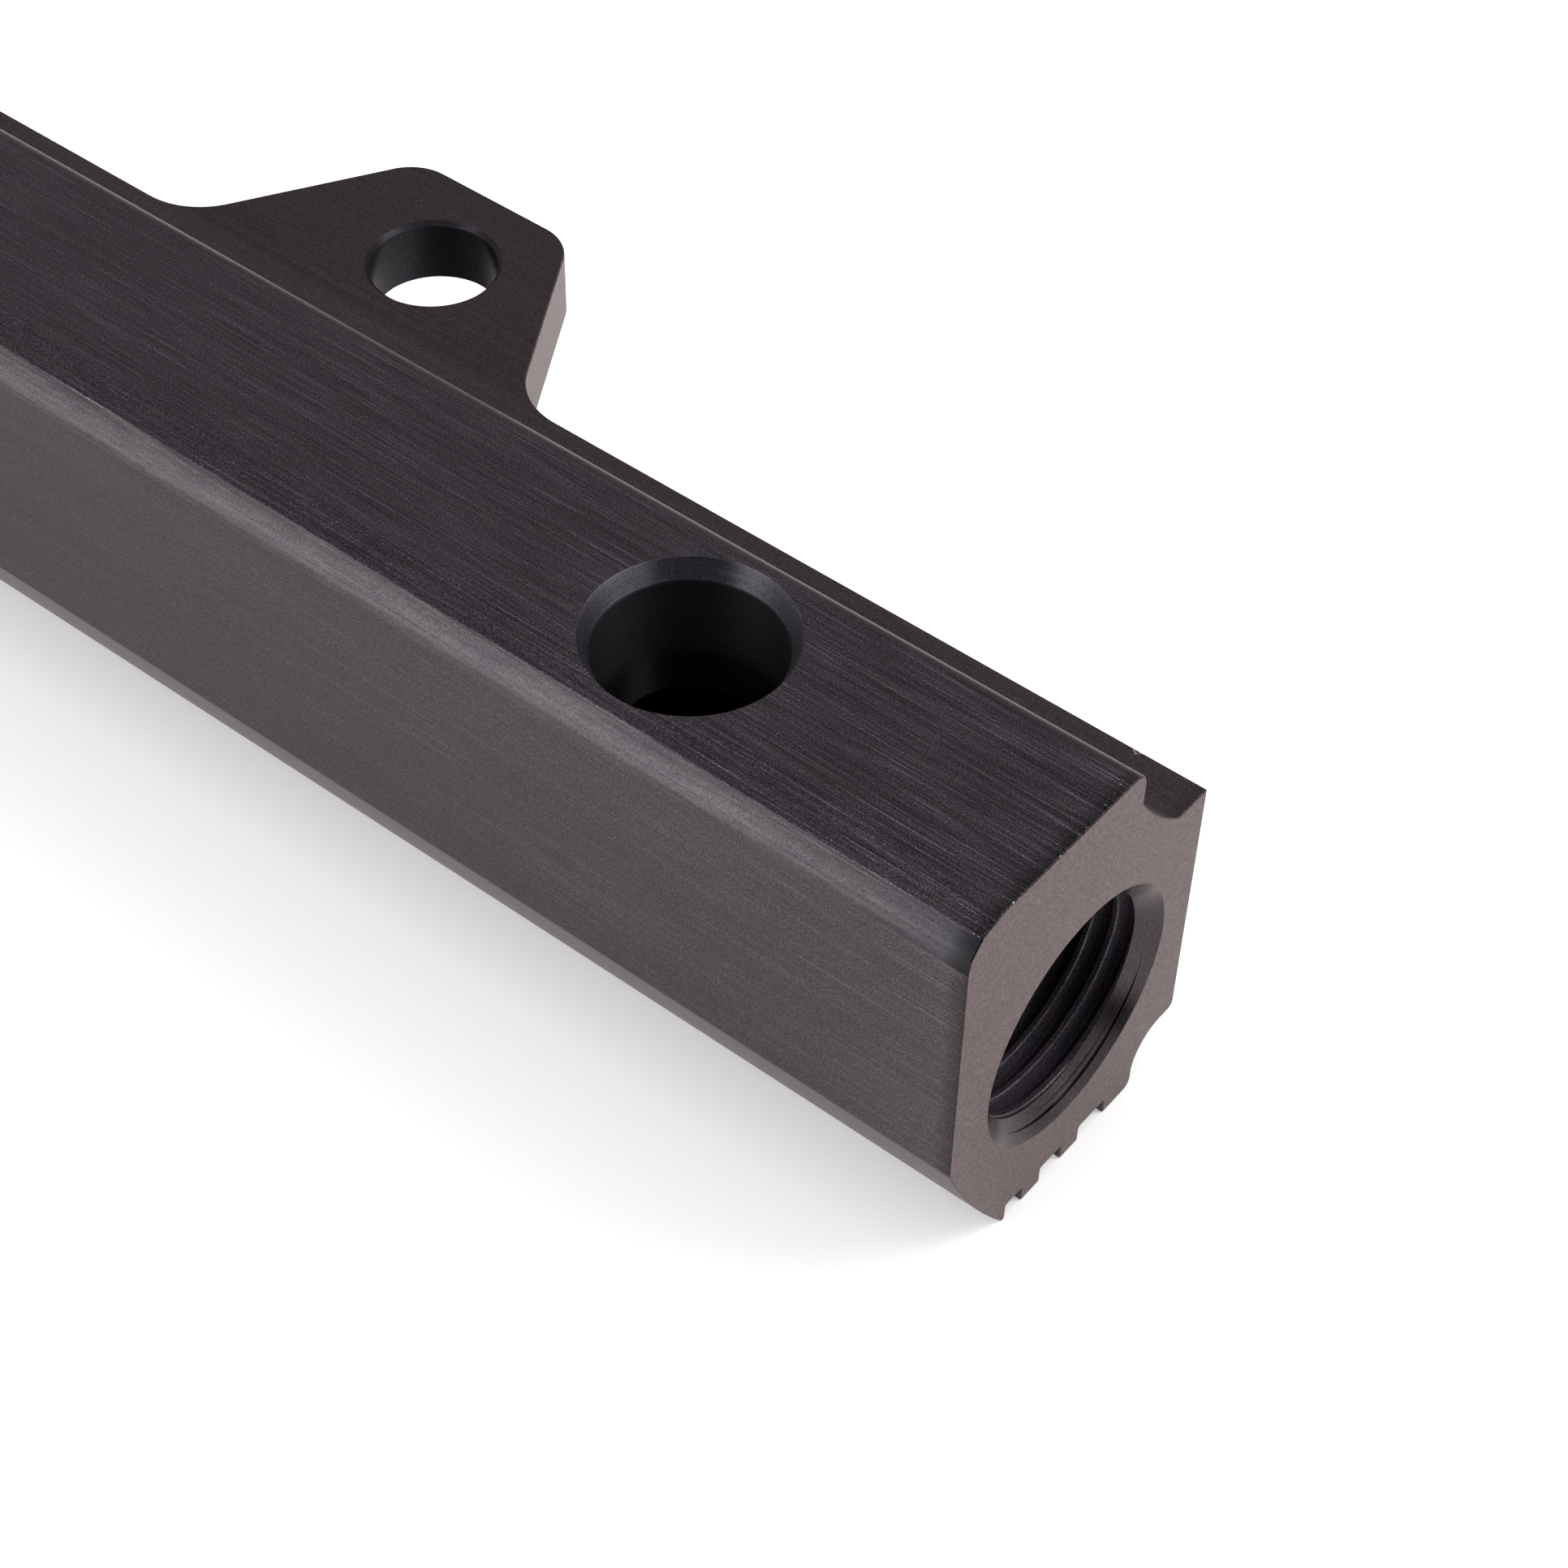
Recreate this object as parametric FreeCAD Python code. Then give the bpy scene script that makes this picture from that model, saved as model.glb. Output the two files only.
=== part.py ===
import FreeCAD, Part
import math
import os

# Fuel rail, made as one piece: an extruded aluminium bar, milled, bored and tapped.
# Sizes are in millimetres and degrees. X runs along the rail, +Y points to its ears and +Z to the injectors.
# The section is drawn from the gallery axis, and the finished rail is set down on its ribs at Z = 0.

# Pattern along the rail
pocket_count = 4
pocket_pitch = 94.0
pocket_to_end = 30.8
ear_hole_to_end = 79.1

# Reach of the bar from the gallery axis
front_reach = 14.4
back_reach = 13.7
top_height = 20.6
foot_depth = 16.35

# Flat between the top and the front face, measured from the corner that the two would make
top_roll_reach = 3.6
top_roll_radius = 4.0
facet_top_inset = 1.4
facet_top_drop = 0.55
facet_foot_inset = 0.25
facet_foot_drop = 1.85
front_roll_drop = 2.9
front_roll_radius = 1.0
facet_edge_radius = 0.25

# Rounded edges of the bar
top_back_radius = 1.3
flank_edge_radius = 1.0
lower_back_radius = 0.6
foot_radius = 0.8

# Wall and hollow gusset between the top of the bar and the ledge behind it
wall_offset = 5.05
wall_foot_height = 17.25
gusset_knee_offset = 7.0
gusset_knee_height = 14.1
gusset_radius = 22.0
gusset_toe_offset = 10.2
gusset_toe_radius = 1.5

# Bowed flank under the front face
flank_top_depth = 3.4
flank_bow_offset = 11.45
flank_bow_depth = 10.3
flank_bow_radius = 58.0
flank_toe_offset = 7.05

# Cove above the back foot
cove_roof_depth = 11.7
cove_radius = 3.1
back_foot_offset = 8.9

# Resting ribs: the centre and width of each groove between them, from back to front
rib_grooves = [(3.85, 3.1), (-1.2, 2.5), (-5.7, 1.9)]
rib_groove_depth = 1.5
rib_edge_radius = 0.2

# Flange behind the ledge, left standing at the two mounting ears
ledge_height = 11.55
flange_thickness = 5.7
flange_reach = 31.0
flange_root_radius = 1.5

# Mounting ears in plan, from the bolt hole
ear_hole_reach = 21.9
ear_hole_diameter = 10.2
ear_hole_chamfer = 0.35
ear_half_to_end = 6.3
ear_half_to_middle = 9.7
ear_slant = 30.0
ear_corner_radius = 4.2
ear_fillet_radius = 6.35

# Threaded port at each end of the gallery
port_thread_diameter = 19.05
port_thread_pitch = 1.5875
port_thread_depth = 15.0
port_mouth_diameter = 20.6
port_mouth_angle = 45.0
port_run_out_angle = 45.0

# Injector pockets
pocket_offset = 4.4
pocket_diameter = 13.7
pocket_floor_below_gallery_crown = 2.1
pocket_mouth_diameter = 15.3
pocket_mouth_angle = 28.0

# Clearance past a face, so that each cut runs clean through it
cut_clearance = 1.0

# Sizes worked out from those above
rail_length = (pocket_count - 1) * pocket_pitch + 2 * pocket_to_end
end_face = rail_length / 2
gallery_radius = (port_thread_diameter - port_thread_pitch) / 2
ear_hole_x = end_face - ear_hole_to_end
flange_underside = ledge_height - flange_thickness
pocket_depth = top_height - gallery_radius + pocket_floor_below_gallery_crown

CENTRE = FreeCAD.Vector(0, 0, 0)
ALONG = FreeCAD.Vector(1, 0, 0)
UP = FreeCAD.Vector(0, 0, 1)


def in_section(y, z):
    """A point of the bar's section, on the plane X = 0."""
    return FreeCAD.Vector(0, y, z)


def in_plan(x, y):
    """A point of a plan outline, on the plane Z = 0."""
    return FreeCAD.Vector(x, y, 0)


def half_turn_tangent(before, corner, after):
    """Tangent of half the angle by which an outline turns at a corner."""
    return math.tan((corner - before).getAngle(after - corner) / 2)


def rounded_corner(before, corner, after, setback):
    """Where a corner's round starts and ends on its two sides, and the arc between them, if there is one."""
    arriving = (corner - before).normalize()
    leaving = (after - corner).normalize()
    start = corner - arriving * setback
    end = corner + leaving * setback
    if start.distanceToPoint(end) < 1e-6:
        return corner, corner, []
    radius = setback / half_turn_tangent(before, corner, after)
    inward = (leaving - arriving).normalize()
    middle = corner + inward * (math.hypot(radius, setback) - radius)
    return start, end, [Part.Arc(start, middle, end).toShape()]


def rounded_face(corners, place):
    """A face with straight sides between (a, b, radius) corners, and each corner rounded to its own radius.

    Where two rounds want more than the side between them, both give way in proportion.
    """
    points = [place(a, b) for a, b, radius in corners]
    before = points[-1:] + points[:-1]
    after = points[1:] + points[:1]
    tangents = [half_turn_tangent(*trio) for trio in zip(before, points, after)]
    wanted = [tangent * corner[2] for tangent, corner in zip(tangents, corners)]
    sides = [point.distanceToPoint(following) for point, following in zip(points, after)]
    taken = [first + second for first, second in zip(wanted, wanted[1:] + wanted[:1])]
    room = [side / max(side, total) for side, total in zip(sides, taken)]
    setbacks = [full * min(room[i - 1], room[i]) for i, full in enumerate(wanted)]
    rounds = [rounded_corner(*trio) for trio in zip(before, points, after, setbacks)]
    edges = []
    for (_, end, arc), (next_start, _, _) in zip(rounds, rounds[1:] + rounds[:1]):
        edges += arc
        if end.distanceToPoint(next_start) > 1e-6:
            edges.append(Part.LineSegment(end, next_start).toShape())
    return Part.Face(Part.Wire(edges))


def rib_corners():
    """The foot of the bar from back to front: four corners for each groove that parts the resting ribs."""
    root = rib_groove_depth - foot_depth
    corners = []
    for centre, width in rib_grooves:
        for offset, height in [(0.5, -foot_depth), (0.5, root), (-0.5, root), (-0.5, -foot_depth)]:
            corners.append((centre + offset * width, height, rib_edge_radius))
    return corners


def facet_corners():
    """The flat between the front face and the top, with the slight roll of both faces towards it."""
    return [
        (-front_reach, top_height - front_roll_drop, front_roll_radius),
        (facet_foot_inset - front_reach, top_height - facet_foot_drop, facet_edge_radius),
        (facet_top_inset - front_reach, top_height - facet_top_drop, facet_edge_radius),
        (top_roll_reach - front_reach, top_height, top_roll_radius),
    ]


def bar_blank():
    """The extruded bar: box body, gusset, flange, cove, resting ribs and bowed flank in one section."""
    section = [
        *facet_corners(),
        (wall_offset, top_height, top_back_radius),
        (wall_offset, wall_foot_height, 0),
        (gusset_knee_offset, gusset_knee_height, gusset_radius),
        (gusset_toe_offset, ledge_height, gusset_toe_radius),
        (flange_reach, ledge_height, 0),
        (flange_reach, flange_underside, 0),
        (back_reach, flange_underside, flange_root_radius),
        (back_reach, -cove_roof_depth, lower_back_radius),
        (back_foot_offset, -cove_roof_depth, cove_radius),
        (back_foot_offset, -foot_depth, foot_radius),
        *rib_corners(),
        (-flank_toe_offset, -foot_depth, 0),
        (-flank_bow_offset, -flank_bow_depth, flank_bow_radius),
        (-front_reach, -flank_top_depth, flank_edge_radius),
    ]
    face = rounded_face(section, in_section)
    face.translate(ALONG * -end_face)
    return face.extrude(ALONG * rail_length)


def ear_block(height):
    """One ear about its hole, wider towards the middle of the rail, with milled fillets at its foot."""
    spread = (flange_reach - back_reach) * math.tan(math.radians(ear_slant))
    end_foot = ear_half_to_end + spread
    middle_foot = ear_half_to_middle + spread
    buried = back_reach - cut_clearance
    plan = [
        (end_foot + ear_fillet_radius, buried, 0),
        (end_foot + ear_fillet_radius, back_reach, 0),
        (end_foot, back_reach, ear_fillet_radius),
        (ear_half_to_end, flange_reach, ear_corner_radius),
        (-ear_half_to_middle, flange_reach, ear_corner_radius),
        (-middle_foot, back_reach, ear_fillet_radius),
        (-middle_foot - ear_fillet_radius, back_reach, 0),
        (-middle_foot - ear_fillet_radius, buried, 0),
    ]
    return rounded_face(plan, in_plan).extrude(UP * height)


def milled_flange():
    """What is milled off the flange: all beyond the bar's back face, apart from the two mirrored ears."""
    bottom = flange_underside - flange_root_radius - cut_clearance
    height = ledge_height + cut_clearance - bottom
    width = flange_reach + cut_clearance - back_reach
    corner = FreeCAD.Vector(-end_face - cut_clearance, back_reach, bottom)
    swarf = Part.makeBox(rail_length + 2 * cut_clearance, width, height, corner)
    ear = ear_block(height)
    ear.translate(FreeCAD.Vector(ear_hole_x, 0, bottom))
    return swarf.cut(ear).cut(ear.mirror(CENTRE, ALONG))


def turned_cutter(steps, mouth, inward):
    """A cutter turned from (depth, radius) steps about an axis that runs inward from the mouth."""
    outline = [FreeCAD.Vector(0, 0, steps[0][0])]
    outline += [FreeCAD.Vector(radius, 0, depth) for depth, radius in steps]
    outline += [FreeCAD.Vector(0, 0, steps[-1][0]), outline[0]]
    cutter = Part.Face(Part.makePolygon(outline)).revolve(CENTRE, UP, 360)
    cutter.Placement = FreeCAD.Placement(mouth, FreeCAD.Rotation(UP, inward))
    return cutter


def tapered_mouth_steps(mouth_diameter, mouth_angle, bore_diameter, bore_depth):
    """Steps of a round bore with a tapered mouth, whose angle is measured from the bore's axis."""
    slope = math.tan(math.radians(mouth_angle))
    mouth_radius = mouth_diameter / 2
    bore_radius = bore_diameter / 2
    return [
        (-cut_clearance, mouth_radius + cut_clearance * slope),
        ((mouth_radius - bore_radius) / slope, bore_radius),
        (bore_depth, bore_radius),
    ]


def gallery():
    """The fuel gallery, drilled at the thread's tapping size through the whole bar."""
    start = ALONG * (-end_face - cut_clearance)
    return Part.makeCylinder(gallery_radius, rail_length + 2 * cut_clearance, start, ALONG)


def ports():
    """A port at each end: tapered mouth, thread bored at its major diameter, and run-out to the gallery."""
    bore = (port_thread_diameter, port_thread_depth)
    steps = tapered_mouth_steps(port_mouth_diameter, port_mouth_angle, *bore)
    thread_height = port_thread_diameter / 2 - gallery_radius
    run_out = thread_height / math.tan(math.radians(port_run_out_angle))
    steps.append((port_thread_depth + run_out, gallery_radius))
    return [turned_cutter(steps, ALONG * side * end_face, ALONG * -side) for side in (1, -1)]


def injector_pockets():
    """The row of injector pockets, sunk from the top until they open into the gallery."""
    bore = (pocket_diameter, pocket_depth)
    steps = tapered_mouth_steps(pocket_mouth_diameter, pocket_mouth_angle, *bore)
    first = FreeCAD.Vector(pocket_to_end - end_face, -pocket_offset, top_height)
    mouths = [first + ALONG * (i * pocket_pitch) for i in range(pocket_count)]
    return [turned_cutter(steps, mouth, UP * -1) for mouth in mouths]


def ear_holes():
    """A plain bolt hole through each ear, with its rims broken above and below."""
    radius = ear_hole_diameter / 2
    rim_reach = ear_hole_chamfer + cut_clearance
    steps = [
        (-cut_clearance, radius + rim_reach),
        (ear_hole_chamfer, radius),
        (flange_thickness - ear_hole_chamfer, radius),
        (flange_thickness + cut_clearance, radius + rim_reach),
    ]
    mouths = [FreeCAD.Vector(side * ear_hole_x, ear_hole_reach, ledge_height) for side in (1, -1)]
    return [turned_cutter(steps, mouth, UP * -1) for mouth in mouths]


def rail_body():
    """The whole rail, set down with its ribs at Z = 0 and its length and width centred on the origin."""
    rail = bar_blank().cut(milled_flange()).removeSplitter()
    for cutter in [gallery(), *ports(), *injector_pockets(), *ear_holes()]:
        rail = rail.cut(cutter)
    rail.translate(FreeCAD.Vector(0, (front_reach - flange_reach) / 2, foot_depth))
    return rail


def main():
    os.makedirs("parts", exist_ok=True)
    rail_body().exportStep("parts/rail_body.step")


if __name__ == "__main__":
    main()
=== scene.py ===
import math

import bmesh
import bpy
import numpy as np
from bpy.props import FloatProperty, FloatVectorProperty, IntProperty, PointerProperty
from bpy.types import Operator, Panel, PropertyGroup
from mathutils import Matrix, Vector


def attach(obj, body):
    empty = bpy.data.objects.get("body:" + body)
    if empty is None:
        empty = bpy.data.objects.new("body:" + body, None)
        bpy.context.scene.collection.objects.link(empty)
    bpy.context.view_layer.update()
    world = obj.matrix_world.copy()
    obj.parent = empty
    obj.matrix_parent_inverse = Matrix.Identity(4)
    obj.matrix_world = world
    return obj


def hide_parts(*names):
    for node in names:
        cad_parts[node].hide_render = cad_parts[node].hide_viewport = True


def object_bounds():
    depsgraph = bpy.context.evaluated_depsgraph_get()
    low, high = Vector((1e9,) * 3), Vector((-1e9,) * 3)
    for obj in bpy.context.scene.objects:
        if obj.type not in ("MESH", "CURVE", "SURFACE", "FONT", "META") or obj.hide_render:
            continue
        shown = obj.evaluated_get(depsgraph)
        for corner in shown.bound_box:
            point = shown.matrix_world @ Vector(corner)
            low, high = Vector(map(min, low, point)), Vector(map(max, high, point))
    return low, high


# Looks of the fuel rail: one dark anodised aluminium bar, milled, bored and tapped.
# Shapes are worked out about the gallery axis, with X along the rail, and set down in the CAD frame at the
# end. Finishes read Object coordinates, so their heights and distances are those of the CAD frame.

bl_info = {
    "name": "Fuel rail",
    "version": (1, 0, 0),
    "blender": (4, 5, 0),
    "location": "3D View > Sidebar > Fuel rail",
    "description": "Builds the anodised fuel rail over its CAD frame, with a plain studio",
    "category": "Object",
}

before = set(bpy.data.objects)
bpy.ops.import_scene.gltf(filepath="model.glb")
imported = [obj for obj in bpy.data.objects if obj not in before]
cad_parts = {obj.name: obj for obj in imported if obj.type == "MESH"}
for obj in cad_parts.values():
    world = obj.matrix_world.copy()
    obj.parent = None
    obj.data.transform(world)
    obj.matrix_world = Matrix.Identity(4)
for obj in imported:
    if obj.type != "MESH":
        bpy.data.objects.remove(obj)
FRAME_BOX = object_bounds()

MM = 0.001
NOUGHT = 1e-9  # what is smaller counts as none
SHARP_ANGLE = math.radians(20)
RAIL_LENGTH = FRAME_BOX[1].x - FRAME_BOX[0].x
RAIL_END = RAIL_LENGTH / 2
GALLERY_AXIS = (0.0, -8.3 * MM, 16.35 * MM)

# How finely shapes are divided: rounds by turn and length, the bar along its length, bores about their axes
ARC_TURN = math.radians(15)
ARC_STEP = 0.3 * MM
FINE_ARC_STEP = 0.2 * MM
BAR_STATIONS = 33
BORE_COLUMNS = 120
HOLE_COLUMNS = 96

# Finishes of the body, in the order of its material slots
FINISHES = ("brushed_top", "satin_front", "etched_facet", "matte_back", "milled_face", "turned_port",
            "cut_thread", "highlit_crest", "turned_pocket", "chipped_edge")
TOP, FRONT, FACET, MATTE, MILLED, PORT, THREAD, CREST_HIGHLIGHT, POCKET, CHIPPED = range(len(FINISHES))

# The axes that holes are turned about
ALONG, UPRIGHT = 0, 2

# Heights and reaches of the bar and its flange, in millimetres from the gallery axis
TOP_HEIGHT = 20.6
BACK_REACH = 13.7
LEDGE_HEIGHT = 11.55
FLANGE_UNDERSIDE = 5.85
FLANGE_REACH = 31.0
FLANGE_ROOT_RADIUS = 1.5

# An ear in millimetres: its tip's reach from the bolt hole to the rail's end and middle, its slant, its
# rounds, its hole, and where its blank starts under it and inside the bar
EAR_END_REACH = 6.3
EAR_MIDDLE_REACH = 9.7
EAR_SLANT = math.radians(30)
EAR_FOOT_RADIUS = 6.35
EAR_TIP_RADIUS = 4.2
EAR_HOLE_Y = 21.9
EAR_BLANK_FOOT = 2.0
EAR_ROOT = 1.0

# The thread's profile: half its angle, then the flat of its roots and half a broken corner in pitches
THREAD_HALF_ANGLE = math.radians(30)
THREAD_ROOT_FLAT = 1 / 8
THREAD_CORNER = 0.03

# The thread's cutter: turns outside the face and past full depth, taper of the tap's first teeth, how far
# it goes under the crests, and how steeply the groove deepens inside the throat
TURNS_OUTSIDE = 4
TURNS_BEYOND = 6
TAP_TAPER = 0.3
TAP_TIP = 0.5 * MM
THROAT_RELEASE = 3

# Round cutters, in metres: reach past the face they enter, and the small breaks that they leave
PAST = 1 * MM
PORT_RIM = 0.08 * MM
PORT_RIM_LEAN = 0.2
PORT_TIP = 8 * MM
POCKET_Y = -4.4 * MM
POCKET_LIP = 0.06 * MM
POCKET_FOOT = 0.3 * MM
EAR_HOLE_BREAK = 0.35 * MM

# Two steps that a tool left out of centre in the +X port's mouth: depth and radius, and their Y and Z
TOOL_STEPS = ((0.70 * MM, 9.53 * MM), (0.98 * MM, 9.15 * MM))
TOOL_MIDDLE = (0.09 * MM, -0.34 * MM)

# The bar's section in millimetres from the gallery axis, clockwise as seen from its +X end. Each row has
# a corner's Y, Z and radius, and the finish of its round and of the side that follows it.
SECTION = np.array([
    (-14.4, 17.7, 1.0, FACET),
    (-14.15, 18.75, 0.25, FACET),
    (-13.0, 20.05, 0.25, TOP),
    (-10.8, TOP_HEIGHT, 4.0, TOP),
    (5.05, TOP_HEIGHT, 1.3, MATTE),
    (5.05, 17.25, 0.0, MATTE),
    (7.0, 14.1, 22.0, MATTE),
    (10.2, LEDGE_HEIGHT, 1.5, MATTE),
    (BACK_REACH, LEDGE_HEIGHT, 0.2, MATTE),
    (BACK_REACH, -11.7, 0.6, MATTE),
    (8.9, -11.7, 3.1, MATTE),
    (8.9, -16.35, 0.8, MATTE),
    (5.4, -16.35, 0.2, MATTE),
    (5.4, -14.85, 0.2, MATTE),
    (2.3, -14.85, 0.2, MATTE),
    (2.3, -16.35, 0.2, MATTE),
    (0.05, -16.35, 0.2, MATTE),
    (0.05, -14.85, 0.2, MATTE),
    (-2.45, -14.85, 0.2, MATTE),
    (-2.45, -16.35, 0.2, MATTE),
    (-4.75, -16.35, 0.2, MATTE),
    (-4.75, -14.85, 0.2, MATTE),
    (-6.65, -14.85, 0.2, MATTE),
    (-6.65, -16.35, 0.2, MATTE),
    (-7.05, -16.35, 0.0, MATTE),
    (-11.45, -10.3, 58.0, MATTE),
    (-14.4, -3.4, 1.0, FRONT),
])

# Small chips and pits near the +X end, in millimetres: X, Y and Z, then length, width and height
CHIPS = np.array([
    (165.15, 13.44, 11.56, 0.44, 0.20, 0.16),
    (165.55, 13.36, 11.56, 0.34, 0.28, 0.18),
    (165.90, 13.50, 11.56, 0.32, 0.24, 0.20),
    (166.15, 13.30, 11.56, 0.30, 0.24, 0.16),
    (166.40, 13.60, 11.54, 0.44, 0.30, 0.30),
    (171.25, -8.25, -4.90, 0.20, 0.26, 0.26),
    (171.50, -8.42, -5.30, 0.14, 0.16, 0.20),
])

# Heights between which a finish or its painted light and shade changes, in millimetres over the floor
RIB_HEIGHTS = (6, 14)
LOW_BACK_HEIGHTS = (12, 24)
EAR_TO_POCKET_HEIGHTS = (28, 30)
FACET_FOOT_HEIGHTS = (34.25, 34.70)
FACET_HEIGHTS = (35.1, 36.4)
FACET_EDGE_HEIGHTS = (35.7, 36.4)
LEAD_IN_FOOT_HEIGHTS = (35.2, 35.4)
BACK_ROUND_HEIGHTS = (35.5, 35.7)
TOP_EDGE_HEIGHTS = (36.3, 36.7)

# The anodised skin: its tint at a low angle, its relief, and the turn that sets highlights across grooves
GRAZING_TINT = (0.95, 0.90, 0.905, 1)
BUMP_STRENGTH = 0.3
QUARTER_TURN = 0.25

# What the lamps face, and each lamp's place and side, in metres
LAMP_AIM = (0.12, 0.0, 0.02)
KEY_LAMP = ((0.75, 0.55, 0.95), 0.6)
SIDE_LAMP = ((-0.25, -0.75, 0.6), 0.5)

# The surround: its dark panel's direction, the cosines at the panel's rim and core, and its lowest level
PANEL_DIRECTION = (-0.405, 0.544, 0.735)
PANEL_RIM = 0.45
PANEL_CORE = 0.92
ROOM_LEVEL = 0.55

# The black card: the place on the floor that it faces, its direction from there and its distance
CARD_FROM = (0.141, -0.013)
CARD_DIRECTION = (0.581, -0.814)
CARD_REACH = 0.45

# The floor's half side in metres, and the share of its glow that is left where it sees no sky
FLOOR_HALF = 3.0
SHADED_GLOW = 0.35

WHITE = (1, 1, 1, 1)
CARD_BLACK = (0.01, 0.01, 0.01, 1)

# The photograph's camera: side of its frame, focal length and optical centre in pixels, then its right,
# up and back directions and its place
FRAME_SIDE = 1932
FOCAL = 4107.19
OPTICAL_CENTRE = (1008.491, 987.354)
CAMERA_AXES = (
    (0.784764, 0.619244, 0.026122),
    (-0.469277, 0.566122, 0.677705),
    (0.404877, -0.544097, 0.734869),
)
CAMERA_PLACE = (0.243379, -0.135153, 0.193616)


class RailSizes(PropertyGroup):
    """Sizes of the rail that a user may change."""

    pocket_count: IntProperty(
        name="Pockets", description="Number of injector pockets", default=4, min=1)
    pocket_pitch: FloatProperty(
        name="Pocket pitch", description="Distance between two injector pockets",
        default=94 * MM, unit="LENGTH", precision=4)
    pocket_diameter: FloatProperty(
        name="Pocket bore", description="Diameter of an injector pocket",
        default=13.7 * MM, unit="LENGTH", precision=4)
    pocket_depth: FloatProperty(
        name="Pocket depth", description="Depth of an injector pocket under the top of the bar",
        default=13.97 * MM, unit="LENGTH", precision=4)
    pocket_mouth: FloatProperty(
        name="Pocket mouth", description="Diameter of the tapered mouth at the top of the bar",
        default=15.3 * MM, unit="LENGTH", precision=4)
    pocket_taper: FloatProperty(
        name="Pocket taper", description="Angle of the mouth's wall from the pocket's axis",
        default=math.radians(28), subtype="ANGLE")
    gallery_diameter: FloatProperty(
        name="Gallery", description="Diameter of the fuel gallery",
        default=17.4625 * MM, unit="LENGTH", precision=4)
    thread_diameter: FloatProperty(
        name="Thread roots", description="Diameter at the roots of the thread in each end port",
        default=19.86 * MM, unit="LENGTH", precision=4)
    thread_core: FloatProperty(
        name="Thread crests", description="Diameter at the crests of the thread in each end port",
        default=17.9 * MM, unit="LENGTH", precision=4)
    thread_pitch: FloatProperty(
        name="Thread pitch", description="Pitch of the thread in each end port",
        default=1.8143 * MM, unit="LENGTH", precision=4)
    thread_start: FloatProperty(
        name="Thread start", description="Depth at which a crest starts, on the ear side of the port",
        default=1.17 * MM, unit="LENGTH", precision=4)
    thread_depth: FloatProperty(
        name="Thread depth", description="Depth of full thread in each end port",
        default=13.4 * MM, unit="LENGTH", precision=4)
    port_mouth: FloatProperty(
        name="Port mouth", description="Diameter of the countersink at each end face",
        default=20.6 * MM, unit="LENGTH", precision=4)
    port_throat: FloatProperty(
        name="Port throat", description="Depth at which the countersink has narrowed to the crests",
        default=1.48 * MM, unit="LENGTH", precision=4)
    ear_pitch: FloatProperty(
        name="Ear pitch", description="Distance between the bolt holes of the two ears",
        default=185.4 * MM, unit="LENGTH", precision=4)
    ear_hole_diameter: FloatProperty(
        name="Ear hole", description="Diameter of the bolt hole in each ear",
        default=10.2 * MM, unit="LENGTH", precision=4)
    end_break: FloatProperty(
        name="End edge", description="Radius of the broken edge round each end face",
        default=0.12 * MM, unit="LENGTH", precision=5)
    ear_break: FloatProperty(
        name="Ear edge", description="Radius of the broken edge round the top of each ear",
        default=0.2 * MM, unit="LENGTH", precision=5)


class FinishColours(PropertyGroup):
    """Reflected colours of the anodised finishes."""

    brushed_top: FloatVectorProperty(
        name="Brushed top", description="Top of the bar, brushed along its length",
        default=(0.063, 0.053, 0.063), subtype="COLOR", size=3, min=0, max=1)
    satin_front: FloatVectorProperty(
        name="Satin front", description="Front face, brushed more finely",
        default=(0.064, 0.053, 0.059), subtype="COLOR", size=3, min=0, max=1)
    etched_facet: FloatVectorProperty(
        name="Etched facet", description="Unbrushed flat between the top and the front",
        default=(0.098, 0.086, 0.095), subtype="COLOR", size=3, min=0, max=1)
    matte_back: FloatVectorProperty(
        name="Matte back", description="Ledge, wall, cove, ribs and flank, as extruded",
        default=(0.068, 0.051, 0.060), subtype="COLOR", size=3, min=0, max=1)
    milled_face: FloatVectorProperty(
        name="Milled faces", description="End faces and the walls of the ears",
        default=(0.085, 0.061, 0.060), subtype="COLOR", size=3, min=0, max=1)
    turned_port: FloatVectorProperty(
        name="Turned port", description="Port mouth and gallery",
        default=(0.057, 0.047, 0.051), subtype="COLOR", size=3, min=0, max=1)
    cut_thread: FloatVectorProperty(
        name="Cut thread", description="Threads of the ports",
        default=(0.070, 0.058, 0.074), subtype="COLOR", size=3, min=0, max=1)
    # Painted highlight: the crests' outer edges get a lighter colour for their edge highlight
    highlit_crest: FloatVectorProperty(
        name="Highlit crests", description="Outer edge of each thread crest, where the dye is thin",
        default=(0.080, 0.073, 0.080), subtype="COLOR", size=3, min=0, max=1)
    turned_pocket: FloatVectorProperty(
        name="Turned pockets", description="Injector pockets and ear holes",
        default=(0.070, 0.066, 0.078), subtype="COLOR", size=3, min=0, max=1)
    chipped_edge: FloatVectorProperty(
        name="Chipped edge", description="Inside of the small chips, where the dye is gone",
        default=(0.28, 0.27, 0.28), subtype="COLOR", size=3, min=0, max=1)


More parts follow.
